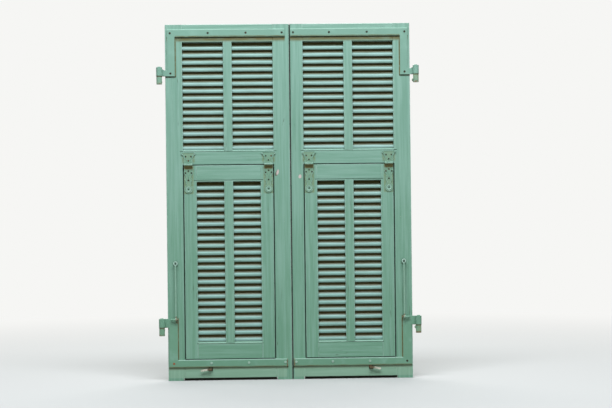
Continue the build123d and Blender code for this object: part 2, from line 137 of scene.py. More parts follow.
def edit(piece):
    """Opens one piece for editing, with everything in it deselected."""
    only(piece)
    bpy.context.tool_settings.mesh_select_mode = (False, False, True)
    bpy.ops.object.mode_set(mode="EDIT")
    bpy.ops.mesh.select_all(action="DESELECT")


def done():
    bpy.ops.object.mode_set(mode="OBJECT")


def pick_faces(piece, test):
    """Opens a piece with the faces selected whose middle and normal pass the test."""
    only(piece)
    mesh = piece.data
    bpy.context.tool_settings.mesh_select_mode = (False, False, True)
    for group in (mesh.vertices, mesh.edges):
        group.foreach_set("select", [False] * len(group))
    mesh.polygons.foreach_set("select", [bool(test(f.center, f.normal)) for f in mesh.polygons])
    bpy.ops.object.mode_set(mode="EDIT")


def pick_edges(piece, test):
    """Opens a piece with the edges selected whose two ends and face normals pass the test."""
    only(piece)
    mesh = piece.data
    normals = {}
    for face in mesh.polygons:
        for key in face.edge_keys:
            normals.setdefault(key, []).append(face.normal.copy())
    bpy.context.tool_settings.mesh_select_mode = (False, True, False)
    for group in (mesh.vertices, mesh.polygons):
        group.foreach_set("select", [False] * len(group))
    points = [v.co for v in mesh.vertices]
    mesh.edges.foreach_set("select", [
        len(normals.get(e.key, ())) == 2
        and bool(test(points[e.vertices[0]], points[e.vertices[1]], *normals[e.key]))
        for e in mesh.edges])
    bpy.ops.object.mode_set(mode="EDIT")


def score(piece, cuts):
    """Cuts edges into a piece along planes, each given by a point and a normal, and leaves it whole."""
    for point, normal in cuts:
        edit(piece)
        bpy.ops.mesh.select_all(action="SELECT")
        bpy.ops.mesh.bisect(plane_co=point, plane_no=normal, use_fill=False)
        done()


def apply_modifier(piece, kind, **settings):
    only(piece)
    modifier = piece.modifiers.new(kind.title(), kind)
    for name, value in settings.items():
        setattr(modifier, name, value)
    bpy.ops.object.modifier_apply(modifier=modifier.name)


def finish_shading(piece, turn):
    """Smooth over small turns, in degrees, with large flat faces left flat."""
    only(piece)
    bpy.ops.object.shade_smooth_by_angle(angle=math.radians(turn))
    apply_modifier(piece, "WEIGHTED_NORMAL", keep_sharp=True, weight=90)


def place_applied(piece):
    only(piece)
    bpy.ops.object.transform_apply(location=True, rotation=True, scale=True)


def block(name, low, high):
    """A plain block between two corners, to be shaped further."""
    deselect()
    bpy.ops.mesh.primitive_cube_add(size=1)
    piece = bpy.context.active_object
    piece.name = name
    piece.scale = [b - a for a, b in zip(low, high)]
    piece.location = [(a + b) / 2 for a, b in zip(low, high)]
    place_applied(piece)
    return piece


def join(pieces, name):
    deselect()
    for piece in pieces:
        piece.select_set(True)
    bpy.context.view_layer.objects.active = pieces[0]
    bpy.ops.object.join()
    pieces[0].name = name
    return pieces[0]


def own_copy(piece, name):
    """A copy with a mesh of its own."""
    copied = piece.copy()
    copied.data = piece.data.copy()
    copied.name = name
    bpy.context.scene.collection.objects.link(copied)
    return copied


def copy_node(node, name):
    """A new piece in the shape of a CAD node, with its loose triangles merged back into faces."""
    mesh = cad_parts[node].data.copy()
    mesh.materials.clear()
    piece = bpy.data.objects.new(name, mesh)
    bpy.context.scene.collection.objects.link(piece)
    only(piece)
    bpy.ops.mesh.customdata_custom_splitnormals_clear()
    edit(piece)
    bpy.ops.mesh.select_all(action="SELECT")
    bpy.ops.mesh.remove_doubles(threshold=0.002 * MM)
    bpy.ops.mesh.dissolve_limited(angle_limit=math.radians(0.4))
    done()
    return piece


def soften(piece, width, segments=2, turn=25, test=None):
    """Rounds the sharp edges that pass the test, and marks the new faces as arrises."""
    least = math.cos(math.radians(turn))
    pick_edges(piece, lambda a, b, n, m: n.dot(m) < least and (test is None or test(a, b)))
    bpy.ops.mesh.bevel(offset=width, offset_type="OFFSET", segments=segments, affect="EDGES",
                       clamp_overlap=True)
    done()
    mesh = piece.data
    points = [v.co for v in mesh.vertices]
    arris = mesh.attributes.get("arris") or mesh.attributes.new("arris", "FLOAT", "FACE")
    old = [0.0] * len(mesh.polygons)
    arris.data.foreach_get("value", old)
    for i, face in enumerate(mesh.polygons):
        longest = max((points[a] - points[b]).length for a, b in face.edge_keys)
        if face.select and face.area < longest * width:
            old[i] = 1.0
    arris.data.foreach_set("value", old)


def to_street(normal):
    """Whether a face looks straight to the street."""
    return normal.y < -0.9


def mark_faces(piece, name, test, value=1.0):
    """Sets a face attribute on the faces whose middle and normal pass the test."""
    mesh = piece.data
    marks = mesh.attributes.get(name) or mesh.attributes.new(name, "FLOAT", "FACE")
    for i, face in enumerate(mesh.polygons):
        if test(face.center, face.normal):
            marks.data[i].value = value


def belongs(piece, body, slot, *nodes):
    """Says which body carries a piece and hides the CAD parts that it stands for; its slot is not used.
    """
    deselect()
    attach(piece, body)
    if nodes:
        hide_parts(*nodes)


def finish_in(piece, material):
    piece.data.materials.clear()
    piece.data.materials.append(material)


def hand_over(piece, material, body, slot, *nodes, turn=38):
    """Gives a shaped piece its finish and shading, and says what it belongs to."""
    finish_in(piece, material)
    finish_shading(piece, turn)
    belongs(piece, body, slot, *nodes)


# Materials


# How a value is mapped from one range to another, and how two colours are mixed, wherever they are
SMOOTH = {"interpolation_type": "SMOOTHSTEP", "clamp": True}
COLOURS = {"data_type": "RGBA", "clamp_result": True}


def add_node(tree, kind, *values, inputs=None, output=None, **settings):
    """Adds one shader node with its settings, fills or links its inputs, and gives one output.

    Values go to the inputs that its settings leave in use, in order; inputs holds others by name.
    """
    made = tree.nodes.new("ShaderNode" + kind)
    for name, value in settings.items():
        setattr(made, name, value)
    filled = list(zip([socket for socket in made.inputs if socket.enabled], values))
    filled += [(made.inputs[name], value) for name, value in (inputs or {}).items()]
    for socket, value in filled:
        if isinstance(value, bpy.types.NodeSocket):
            tree.links.new(value, socket)
        else:
            socket.default_value = value
    if output:
        return made.outputs[output]
    return next((socket for socket in made.outputs if socket.enabled), None)


def new_material(name):
    """A material with its empty tree and coordinates, which are None if it was made before."""
    material = bpy.data.materials.get(name)
    if material:
        return material, None, None
    material = bpy.data.materials.new(name)
    material.use_nodes = True
    tree = material.node_tree
    tree.nodes.clear()
    return material, tree, add_node(tree, "TexCoord", output="Object")


def mottle(tree, place, size, detail=2.0, rough=0.5, offset=0.0):
    """Random patches about as large as size, which is a length or one length for each axis."""
    sizes = size if isinstance(size, tuple) else (size,) * 3
    laid = add_node(tree, "Mapping", inputs={
        "Vector": place, "Scale": [1 / s for s in sizes], "Location": [offset] * 3})
    return add_node(tree, "TexNoise", inputs={
        "Vector": laid, "Scale": 1.0, "Detail": detail, "Roughness": rough})


def coat(tree, under, tone, *shares):
    """A tone laid over a colour, as thick as its shares multiplied."""
    share = shares[0]
    for other in shares[1:]:
        share = add_node(tree, "Math", share, other, operation="MULTIPLY")
    tone = srgb(tone) if isinstance(tone, str) else tuple(tone)
    return add_node(tree, "Mix", share, under, tone, **COLOURS)


def washes(tree, under, rows):
    """Thin coats: each grows from nothing to its share as its value goes from one place to another."""
    for value, none_at, full_at, share, tone in rows:
        grown = add_node(tree, "MapRange", value, none_at, full_at, 0.0, share, **SMOOTH)
        under = coat(tree, under, tone, grown)
    return under


def most(tree, masks):
    """The strongest of several masks."""
    strongest = masks[0]
    for mask in masks[1:]:
        strongest = add_node(tree, "Math", strongest, mask, operation="MAXIMUM")
    return strongest


def within(tree, value, low, high, soft_low, soft_high):
    """One between two places, falling to nothing over a soft length on either side."""
    rise = add_node(tree, "MapRange", value, low - soft_low, low, **SMOOTH)
    fall = add_node(tree, "MapRange", value, high, high + soft_high, 1.0, 0.0, **SMOOTH)
    return add_node(tree, "Math", rise, fall, operation="MULTIPLY")


def patches(tree, across, up, rows):
    """Rectangles from a table of (x span, z span, fade to the left, right, foot and head), in mm."""
    masks = []
    for x_span, z_span, fades in rows:
        left, right, foot, head = (fade * MM for fade in fades)
        masks.append(add_node(
            tree, "Math", within(tree, across, x_span[0] * MM, x_span[1] * MM, left, right),
            within(tree, up, z_span[0] * MM, z_span[1] * MM, foot, head), operation="MULTIPLY"))
    return most(tree, masks)


def spot(tree, across, up, ragged, centre, radii, lean=0.0):
    """A ragged oval on the front, its centre and radii in mm, leaning some mm for each mm up."""
    side = add_node(tree, "Math", across, centre[0] * MM, operation="SUBTRACT")
    high = add_node(tree, "Math", up, centre[1] * MM, operation="SUBTRACT")
    side = add_node(tree, "Math", high, -lean, side, operation="MULTIPLY_ADD")
    from_centre = add_node(
        tree, "CombineXYZ", add_node(tree, "Math", side, radii[0] * MM, operation="DIVIDE"),
        add_node(tree, "Math", high, radii[1] * MM, operation="DIVIDE"))
    reach = add_node(tree, "VectorMath", from_centre, operation="LENGTH")
    rough = add_node(tree, "Math", ragged, 0.9, reach, operation="MULTIPLY_ADD")
    return add_node(tree, "MapRange", rough, 1.52, 1.38, **SMOOTH)


def finish_surface(tree, colour, roughness, relief=None, strength=0.0, depth=0.0, metallic=0.0):
    """The end of a material: its colour and roughness, and a fine relief if it has one."""
    looks = {"Base Color": colour, "Roughness": roughness, "Metallic": metallic}
    if relief:
        looks["Normal"] = add_node(tree, "Bump", inputs={
            "Height": relief, "Strength": strength, "Distance": depth})
    add_node(tree, "OutputMaterial", add_node(tree, "BsdfPrincipled", inputs=looks))


# Stained and worn places of the street side, and places of painted shade and painted highlight, as rows
# for patches: X is measured from the meeting line
UNDER_STRAPS = (
    ((13, 541), (1533, 1546), (3, 3, 16, 1)), ((503.5, 551), (1368, 1370), (2, 2, 9, 1)),
    ((503.5, 507), (1368, 1546), (4, 1, 2, 2)), ((13, 546), (59, 61), (3, 3, 14, 1)),
    ((503.5, 507), (96, 282), (4, 1, 2, 2)))
# Painted shadow of each strap on the wood just under it, with dirt
STRAP_SHADOWS = (
    ((13, 541), (1540, 1546), (3, 3, 4, 1)), ((503.5, 551), (1364, 1370), (2, 2, 3, 1)),
    ((13, 546), (56, 61), (3, 3, 4, 1)))
ROUND_FLAP_HINGES = (
    ((66, 116), (985, 1022), (8, 8, 12, 5)), ((426, 476), (985, 1022), (8, 8, 12, 5)),
    ((72, 110), (842, 971), (8, 8, 6, 2)), ((432, 470), (842, 971), (8, 8, 6, 2)))
BETWEEN_FEET = (((20, 545), (14, 56), (5, 5, 4, 6)),)
MEETING_LINE = (((6.2, 11.8), (0, 1600), (1.2, 1.2, 1, 1)),)
UPPER_EDGES = (
    ((9, 551), (1576.5, 1581), (1, 1, 2, 1)), ((9, 504), (91.5, 96), (1, 1, 2, 1)),
    ((503, 524), (518, 540), (1, 1, 1, 1)))
LOWER_EDGES = (
    ((9, 504), (1545, 1548.5), (1, 1, 1, 2)), ((9, 546), (60, 63.5), (1, 1, 1, 2)),
    ((12, 15.5), (61, 95), (1, 2, 1, 1)), ((503, 506), (96, 282), (1, 2, 1, 1)),
    ((503, 506), (1372, 1546), (1, 2, 1, 1)))
KNUCKLES = (((60, 490), (966, 978), (4, 4, 1, 1)),)
UNDER_KNUCKLES = (((60, 490), (953, 966), (4, 4, 6, 2)),)
EYE_BEARINGS = (
    ((555, 600), (1365.5, 1369.5), (2, 2, 3, 2)), ((555, 600), (237.5, 241.5), (2, 2, 3, 2)))
EYES = (((555, 600), (1334, 1366), (2, 2, 2, 2)), ((555, 600), (206, 238), (2, 2, 2, 2)))
STAY_RINGS = (((509, 518), (524, 533), (1, 1, 1, 1)),)
STRAP_ENDS = (
    ((9, 16), (55, 100), (2, 5, 2, 2)), ((500, 512), (262, 290), (2, 6, 6, 2)),
    ((555, 600), (200, 209), (2, 2, 2, 4)), ((555, 600), (1328, 1337), (2, 2, 2, 5)))
FRESH_RUST = (((-535, -515), (68, 88), (2, 2, 2, 2)),)


def flap_joints():
    """The joints all round a flap, as rows for patches: each shows 3 or 4 mm wide outside the flap."""
    outer, inner = (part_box(f"right_flap_{name}") for name in ("hinge_stile", "meeting_stile"))
    x_in, x_out, z_low, z_high = (v / MM for v in (inner[0].x, outer[1].x, inner[0].z, outer[1].z))
    return (
        ((x_out - 0.6, x_out + 4.2), (z_low, z_high), (1, 1, 2, 2)),
        ((x_in - 4.2, x_in + 0.6), (z_low, z_high), (1, 1, 2, 2)),
        ((x_in, x_out), (z_high - 0.6, z_high + 3.6), (2, 2, 1, 1)),
        ((x_in, x_out), (z_low - 3.6, z_low + 0.6), (2, 2, 1, 1)))


def bleached_paint(tree, height, cloud):
    """The shutters' paint, deep at the foot and bleached by the sun towards the head, in soft clouds."""
    colours = bpy.context.scene.shutter_paint
    bleached = add_node(tree, "Math", cloud, 0.9, height, operation="MULTIPLY_ADD")
    return washes(tree, tuple(colours.low), ((bleached, 0.35, 2.0, 1.0, colours.high),))


def oil_paint_on_pine(upright):
    """Brushed linseed oil paint on pine, many coats, sun-bleached, worn thin at the arrises and painted
    paler there, which is also a painted highlight.
    """
    # Brush marks and the raised grain run along the board. A brush leaves lines about 1 mm apart;
    # at the photograph's 4.5 mm a pixel only the broad bands of a 60 mm brush show, so both are here.
    material, tree, place = new_material(
        "brushed_oil_paint_on_pine_" + ("upright" if upright else "level"))
    if tree is None:
        return material

    def along(width, length):
        return (width, width, length) if upright else (length, width, width)

    def on(rows):
        return patches(tree, across, height, rows)

    side, depth, height = (add_node(tree, "SeparateXYZ", place, output=axis) for axis in "XYZ")
    across = add_node(tree, "Math", side, operation="ABSOLUTE")
    cloud = mottle(tree, place, 160 * MM, 3)
    bands = mottle(tree, place, along(11 * MM, 350 * MM), 3, 0.6)
    bristles = mottle(tree, place, along(1.2 * MM, 70 * MM), 3, 0.7, 3.0)
    ragged = mottle(tree, place, 7 * MM, 3, 0.6, 5.0)
    paint = washes(tree, bleached_paint(tree, height, cloud), (
        (bands, 0.35, 0.75, 0.28, "#A3C8BA"),
        (bands, 0.62, 0.25, 0.25, "#5D8F77"),
        (bristles, 0.5, 0.8, 0.20, "#B2D2C6")))
    arris, grime_and_shade = (
        add_node(tree, "Attribute", output="Fac", attribute_name=name) for name in ("arris", "grime_and_shade"))
    # Arrises are painted paler: paint worn thin, and a painted highlight along the rounded edges
    rubbed_and_highlit = add_node(tree, "MapRange", mottle(tree, place, 30 * MM, 3), 0.3, 0.6, 0.15, 0.7, **SMOOTH)
    paint = coat(tree, paint, "#B7D3C4", arris, rubbed_and_highlit)

    # Fine shakes in the timber that have cracked the paint along the grain, here and there
    shake = mottle(tree, place, along(20 * MM, 900 * MM), 2, 0.5, 8.0)
    away = add_node(tree, "Math", shake, 0.5, operation="SUBTRACT")
    away = add_node(tree, "Math", away, operation="ABSOLUTE")
    line = add_node(tree, "MapRange", away, 0.006, 0.001, **SMOOTH)
    shaken = mottle(tree, place, along(50 * MM, 250 * MM), 2, 0.5, 4.0)
    shaken = add_node(tree, "MapRange", shaken, 0.55, 0.62, **SMOOTH)
    crack = add_node(tree, "Math", line, shaken, operation="MULTIPLY")
    paint = coat(tree, paint, "#3E5241", crack, 0.7)

    # Dirt and rust washed down from the straps' lower edges, with a painted shadow of each strap just
    # under it, and more beside their upright arms;
    # a dark halo round each flap hinge, dirt with painted shade; and the painted shade of the stay peg.
    # Only the street side has them.
    front = add_node(tree, "MapRange", depth, -22 * MM, -30 * MM, **SMOOTH)
    loose = mottle(tree, place, (50 * MM, 50 * MM, 12 * MM), 3, 0.6, 2.0)
    loose = add_node(tree, "MapRange", loose, 0.2, 0.6, 0.55, 0.95, **SMOOTH)
    halo_share = add_node(tree, "MapRange", ragged, 0.3, 0.7, 0.25, 0.7, **SMOOTH)
    for mask, share, tone in (
            (on(UNDER_STRAPS), loose, "#6A6236"), (on(STRAP_SHADOWS), 0.8, "#33391E"),
            (on(ROUND_FLAP_HINGES), halo_share, "#77814E"),
            (spot(tree, across, height, ragged, (513.5, 524), (13.0, 15.0)), 0.5, "#2F4636")):
        paint = coat(tree, paint, tone, mask, front, share)
    # Marked faces, the flap rims, the stops behind them and the grooves of the scratched lines, are
    # painted near black: painted shade with some dirt
    paint = coat(tree, paint, "#26362B", grime_and_shade, 0.93)

    # Painted shade that lines the open joints on the face beside them: between the leaves, and all round
    # each flap
    joint_shade = most(tree, [patches(tree, side, height, MEETING_LINE), on(flap_joints())])
    paint = coat(tree, paint, "#1A3427", joint_shade, front, 0.88)
    paint = coat(tree, paint, "#A2C2A6", on(BETWEEN_FEET), front, 0.4)

    # Chips down to the old primer, the two large ones on the meeting stiles just below the mid rails
    bruise = spot(tree, side, height, ragged, (-53.5, 930), (7.0, 13.0), 0.25)
    paint = coat(tree, paint, "#5B5B4C", bruise, front)
    chip = most(tree, [
        add_node(tree, "MapRange", mottle(tree, place, 6 * MM, 2, 0.5, 7.0), 0.80, 0.83, **SMOOTH),
        spot(tree, side, height, ragged, (-50.5, 933), (5.2, 12.5), 0.25),
        spot(tree, side, height, ragged, (49.8, 913), (7.0, 8.6))])
    chip = add_node(tree, "Math", chip, front, operation="MULTIPLY")
    paint = coat(tree, paint, bpy.context.scene.shutter_paint.primer, chip)

    raised = add_node(tree, "Math", bristles, 0.5, bands, operation="MULTIPLY_ADD")
    missing = add_node(tree, "Math", chip, crack, operation="ADD")
    relief = add_node(tree, "Math", missing, -0.8, raised, operation="MULTIPLY_ADD")
    satin = add_node(tree, "MapRange", bands, 0.3, 0.7, 0.42, 0.6, **SMOOTH)
    finish_surface(tree, paint, satin, relief, 0.4, 0.4 * MM)
    return material


def slat_paint_with_painted_light():
    """The same oil paint on the slats: pale at the nose, chalked paint with a painted highlight from the
    sky; darker further in and dark brown at the back, painted shade of the gap with street dirt.
    """
    colours = bpy.context.scene.shutter_paint
    material, tree, place = new_material("oil_paint_on_slats_with_painted_light")
    if tree is None:
        return material
    height = add_node(tree, "SeparateXYZ", place, output="Z")
    depth_in_gap = add_node(tree, "Attribute", output="Fac", attribute_name="depth_in_gap")
    streak = mottle(tree, place, (120 * MM, 4 * MM, 4 * MM), 3, 0.6)
    cloud = mottle(tree, place, (90 * MM, 30 * MM, 30 * MM), 3, 0.5, 5.0)
    wander = add_node(tree, "Math", cloud, 0.5, operation="SUBTRACT")
    edge = add_node(tree, "Math", wander, 0.08, depth_in_gap, operation="MULTIPLY_ADD")
    # Pale at the nose, darker further in, dark brown at the back: painted highlight and painted shade of
    # the gap, with chalking and street dirt
    paint = washes(tree, tuple(colours.slat), (
        (height, 1.1, 0.3, 0.6, "#91C4B8"),
        (edge, 0.2, 0.4, 1.0, colours.slat_middle_shade),
        (streak, 0.45, 0.8, 0.4, "#9CC4BE"),
        (streak, 0.5, 0.2, 0.35, "#6B9080"),
        (edge, 0.32, 0.64, 1.0, colours.soot_and_gap_shade)))
    dusty = add_node(tree, "MapRange", edge, 0.4, 0.7, 0.5, 0.85, **SMOOTH)
    finish_surface(tree, paint, dusty, streak, 0.3, 0.3 * MM)
    return material


def painted_forged_iron():
    """Hand-forged flat iron under the shutter's paint: soft hammer dents, rust at edges and foot."""
    material, tree, place = new_material("oil_paint_on_forged_iron")
    if tree is None:
        return material
    side, height = (add_node(tree, "SeparateXYZ", place, output=axis) for axis in "XZ")
    across = add_node(tree, "Math", side, operation="ABSOLUTE")
    arris, grime_and_shade = (
        add_node(tree, "Attribute", output="Fac", attribute_name=name) for name in ("arris", "grime_and_shade"))
    cloud = mottle(tree, place, 50 * MM, 3)
    dents = mottle(tree, place, 12 * MM, 1, 0.4, 2.0)
    fine = mottle(tree, place, 2 * MM, 3, 0.6, 4.0)

    def on(rows):
        return patches(tree, across, height, rows)

    def patchy(least, greatest):
        return add_node(tree, "MapRange", cloud, 0.3, 0.7, least, greatest, **SMOOTH)

    paint = washes(tree, bleached_paint(tree, height, cloud), ((cloud, 0.5, 0.75, 0.2, "#A3CBBB"),))
    for mask, share, tone in (
            # Rounded edges are painted paler: worn paint and a painted highlight
            (arris, 0.6, "#C0DACB"),
            # Upper edges and the stay ring's rim are painted pale, a painted highlight; lower edges are
            # painted dark, painted shade with dirt
            (on(UPPER_EDGES), 0.45, "#C0E2D2"), (on(LOWER_EDGES), patchy(0.35, 0.8), "#66602F"),
            # The sunk field between the raised ribs of the hinges is painted darker: dirt that the ribs
            # have shed, and painted shade of the recess
            (grime_and_shade, patchy(0.12, 0.4), "#7F8E5C"),
            # The knuckles are painted darker, a painted shade that tones down their lit tops; the band
            # just under them is painted dark brown: painted shadow, with oil and rust
            (on(KNUCKLES), 0.5, "#5E8470"), (on(UNDER_KNUCKLES), 0.85, "#77652B"),
            # Where a strap's eye turns on its pintle the paint is gone and old grease has gone brown
            (on(EYE_BEARINGS), 0.85, "#4C4424"), (on(EYES), patchy(0.1, 0.5), "#A3A878"),
            # The hole of each stay ring round its peg is painted near black: painted shade
            (on(STAY_RINGS), 0.85, "#2B2F20")):
        paint = coat(tree, paint, tone, mask, share)

    spots = add_node(
        tree, "MapRange", mottle(tree, place, 10 * MM, 4, 0.65, 9.0), 0.62, 0.72, **SMOOTH)
    bare = add_node(tree, "MapRange", arris, 0.0, 1.0, 0.12, 0.9, **SMOOTH)
    pitted = add_node(tree, "MapRange", dents, 0.4, 0.6, 0.15, 0.75, **SMOOTH)
    worn = most(tree, [
        add_node(tree, "Math", spots, bare, operation="MULTIPLY"),
        add_node(tree, "Math", on(STRAP_ENDS), pitted, operation="MULTIPLY")])
    paint = coat(tree, paint, bpy.context.scene.shutter_paint.rust, worn)
    relief = add_node(tree, "Math", fine, 0.15, dents, operation="MULTIPLY_ADD")
    dull = add_node(tree, "MapRange", worn, 0.0, 1.0, 0.42, 0.85, **SMOOTH)
    finish_surface(tree, paint, dull, relief, 0.4, 0.6 * MM)
    return material


def rusty_steel_and_slot_shade():
    """Screw heads whose paint has gone: dark brown rust, a little lighter where it is loose. The catch
    brackets take it too, as painted shade of the catch's slot.
    """
    material, tree, place = new_material("rusted_steel_and_slot_shade")
    if tree is None:
        return material
    side, height = (add_node(tree, "SeparateXYZ", place, output=axis) for axis in "XZ")
    flake = mottle(tree, place, 4 * MM, 3, 0.6)
    each = mottle(tree, place, 50 * MM, 1, 0.5, 6.0)
    rusty = washes(tree, srgb("#2A2B1E"), (
        (flake, 0.35, 0.7, 1.0, "#403A25"),
        (each, 0.60, 0.70, 0.7, bpy.context.scene.shutter_paint.rust)))
    rusty = coat(tree, rusty, "#A8562E", patches(tree, side, height, FRESH_RUST))
    finish_surface(tree, rusty, 0.8, flake, 0.5, 0.3 * MM)
    return material


def worn_forged_iron():
    """Forged iron that hands have worn bare and pale, its pits and its pivot still dark."""
    material, tree, place = new_material("hand_worn_forged_iron")
    if tree is None:
        return material
    across = add_node(
        tree, "Math", add_node(tree, "SeparateXYZ", place, output="X"), operation="ABSOLUTE")
    rub = mottle(tree, place, 12 * MM, 3, 0.6)
    pits = mottle(tree, place, 2.5 * MM, 2, 0.6, 3.0)
    metal = washes(tree, srgb("#BFC0AC"), (
        (rub, 0.35, 0.65, 1.0, "#E2E0CF"),
        (across, 382 * MM, 370 * MM, 1.0, "#6E6248"),
        (pits, 0.42, 0.30, 1.0, "#4B4634")))
    polish = add_node(tree, "MapRange", pits, 0.3, 0.6, 0.75, 0.45, **SMOOTH)
    finish_surface(tree, metal, polish, pits, 0.4, 0.3 * MM, metallic=0.15)
    return material


def painted_shade_black():
    """Near-black, flecked brown, for strips that paint the shade of gaps: painted shade."""
    material, tree, place = new_material("painted_shade_black_strips")
    if tree is None:
        return material
    flecks = mottle(tree, place, (2 * MM, 2 * MM, 30 * MM), 2)
    finish_surface(tree, coat(tree, srgb("#12150F"), "#2A2A1C", flecks), 0.95)
    return material


def pale_floor():
    """A matt pale studio floor that goes over into the white backdrop with distance."""
    material, tree, place = new_material("pale_studio_floor")
    if tree is None:
        return material
    # The camera sees it pale; the light that it throws back up is a street's, not a white box's
    ray = add_node(tree, "LightPath", output="Is Camera Ray")
    matt = add_node(tree, "BsdfDiffuse", coat(tree, srgb("#A2A29E"), "#BCBCB9", ray))
    white = add_node(tree, "Emission", srgb("#F6F6F4"), 1.0)
    away = add_node(tree, "VectorMath", place, operation="LENGTH")
    haze = add_node(tree, "MapRange", away, 1.2, 4.5, **SMOOTH)
    far = add_node(tree, "Math", ray, haze, operation="MULTIPLY")
    add_node(tree, "OutputMaterial", add_node(tree, "MixShader", far, matt, white))
    return material


# Timber


def box_edge(piece):
    """A test for the edges of a board: on two sides of its box, along its face, or its full length."""
    corners = [v.co for v in piece.data.vertices]
    low = [min(c[i] for c in corners) for i in range(3)]
    high = [max(c[i] for c in corners) for i in range(3)]
    longest = max(range(3), key=lambda i: high[i] - low[i])
    near = 0.02 * MM

    def sides(a, b):
        return sum(
            abs(a[i] - side[i]) < near and abs(b[i] - side[i]) < near
            for i in range(3) for side in (low, high))

    def test(a, b):
        step = b - a
        across = [abs(step[i]) for i in range(3)]
        if sum(s > near for s in across) > 1:
            return False
        flat = any(abs(a.y - y) < near and abs(b.y - y) < near for y in (low[1], high[1]))
        return (sides(a, b) >= 2 or across[longest] > 0.8 * (high[longest] - low[longest])
                or flat and step.length > 20 * MM)

    return test


def cut_line(piece, z, x_low, x_high, width, depth):
    """A scratched line across the front of a board, as wide and deep as given, between two places."""
    face = min(v.co.y for v in piece.data.vertices)
    skin = 0.2 * MM
    score(piece, [((0, 0, z + way * width / 2), (0, 0, 1)) for way in (-1, 1)]
          + [((x, 0, 0), (1, 0, 0)) for x in (x_low, x_high)])

    def in_line(c):
        return abs(c.z - z) < width / 2 and x_low < c.x < x_high

    pick_faces(piece, lambda c, n: to_street(n) and c.y < face + skin and in_line(c))
    bpy.ops.mesh.extrude_region_move(TRANSFORM_OT_translate={"value": (0, depth, 0)})
    bpy.ops.transform.resize(
        value=(1, 1, 0.3), center_override=((x_low + x_high) / 2, face + depth, z))
    done()
    # The groove's faces are marked to be painted dark: painted shade in the groove, with dirt
    mark_faces(piece, "grime_and_shade", lambda c, n: face + skin < c.y < face + depth * 1.1 and in_line(c))


# Of each scratched line, in mm: its height, the timbers that it crosses, the edges of its rail from the
# meeting line, and how far it runs on over the stiles
LINES = (
    (1029.6, ("mid_rail", "hinge_stile", "meeting_stile"), 474.5, 67.5, 14),
    (900.5, ("flap_top_rail", "flap_hinge_stile", "flap_meeting_stile"), 415, 127, 11),
    (166.0, ("flap_bottom_rail", "flap_hinge_stile", "flap_meeting_stile"), 415, 127, 6))
LINE_WIDTH, LINE_DEPTH = 2.2 * MM, 2.4 * MM


def scratch_lines(piece, side, name):
    """The scratched lines of one board, from the list above."""
    for z, crossed, outer, inner, run in LINES:
        if name in crossed:
            x_low, x_high = sorted(SIDES[side] * MM * x for x in (outer + run, inner - run))
            cut_line(piece, z * MM, x_low, x_high, LINE_WIDTH, LINE_DEPTH)


def shade_joints(piece, side, name):
    """Marks what only shows in the open joint round the flap, its rim and the stops behind, to be
    painted dark: painted shade, with some dirt.
    """
    if name == "flap_stops":
        mark_faces(piece, "grime_and_shade", lambda c, n: to_street(n))
    elif name.startswith("flap"):
        sign = SIDES[side]
        outer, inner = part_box(f"{side}_flap_hinge_stile"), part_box(f"{side}_flap_meeting_stile")
        rim_x = (outer[1].x, inner[0].x) if sign > 0 else (outer[0].x, inner[1].x)
        rim_z = (outer[0].z, outer[1].z)
        near = 0.5 * MM
        mark_faces(piece, "grime_and_shade", lambda c, n: abs(n.y) < 0.5 and (
            min(abs(c.x - x) for x in rim_x) < near or min(abs(c.z - z) for z in rim_z) < near))


class SHUTTERS_OT_timber(bpy.types.Operator):
    """Stiles, rails and muntins with rounded arrises and fine open joints"""

    bl_idname = "shutters.timber"
    bl_label = "Timber frames"

    def execute(self, context):
        groups = (
            ("leaf", UPRIGHTS, True), ("leaf", RAILS + ("flap_stops",), False),
            ("flap", FLAP_UPRIGHTS, True), ("flap", FLAP_RAILS, False))
        for side in SIDES:
            for body, names, upright in groups:
                for name in names:
                    piece = copy_node(f"{side}_{name}", f"{side}_{name}_timber")
                    soften(piece, 0.7 * MM, 3, 25, box_edge(piece))
                    scratch_lines(piece, side, name)
                    shade_joints(piece, side, name)
                    hand_over(piece, oil_paint_on_pine(upright), f"{side}_{body}",
                              "painted_pine", f"{side}_{name}")
        return {"FINISHED"}


# Slats


def shape_slat(length, name):
    """One slat lying flat along X, its nose towards -Y: planed, its arrises eased, ends sawn square."""
    sizes = bpy.context.scene.shutter_slats
    half, thick = sizes.width / 2, sizes.thickness
    lip, underside = 1.8 * MM, 0.35
    slat = block(name, (-length / 2, -half, -thick / 2), (length / 2, half, thick / 2))
    # The nose is planed plumb, so that it is parallel to the leaf once the slat lies at its slope
    edit(slat)
    bpy.ops.mesh.select_all(action="SELECT")
    bpy.ops.mesh.bisect(
        plane_co=(0, -half, lip - thick / 2), use_fill=True, clear_outer=True,
        plane_no=(0, -math.cos(sizes.slope), math.sin(sizes.slope)))
    done()
    pick_edges(slat, lambda a, b, n, m: max(a.y, b.y) < -0.3 * half and abs(a.x - b.x) > length / 2
               and n.dot(m) < 0.9)
    bpy.ops.mesh.bevel(offset=1.1 * MM, segments=3, affect="EDGES")
    done()
    pick_edges(slat, lambda a, b, n, m: abs(a.y - half) < MM / 10 and abs(b.y - half) < MM / 10
               and abs(a.x - b.x) > length / 2)
    bpy.ops.mesh.bevel(offset=1.0 * MM, segments=2, affect="EDGES")
    done()
    spans = 12
    score(slat, [((0, half * share, 0), (0, 1, 0)) for share in (-0.5, -0.2, 0.1, 0.4, 0.7)]
          + [((length * (i / spans - 0.5), 0, 0), (1, 0, 0)) for i in range(1, spans)])
    # How deep in the gap each place is, from nose to back, which sets its painted light and its dirt;
    # the underside is all alike
    depth_in_gap = slat.data.attributes.new("depth_in_gap", "FLOAT", "POINT")
    depth_in_gap.data.foreach_set("value", [
        (v.co.y + half) / sizes.width if v.co.z > 0.1 * thick else underside
        for v in slat.data.vertices])
    return slat


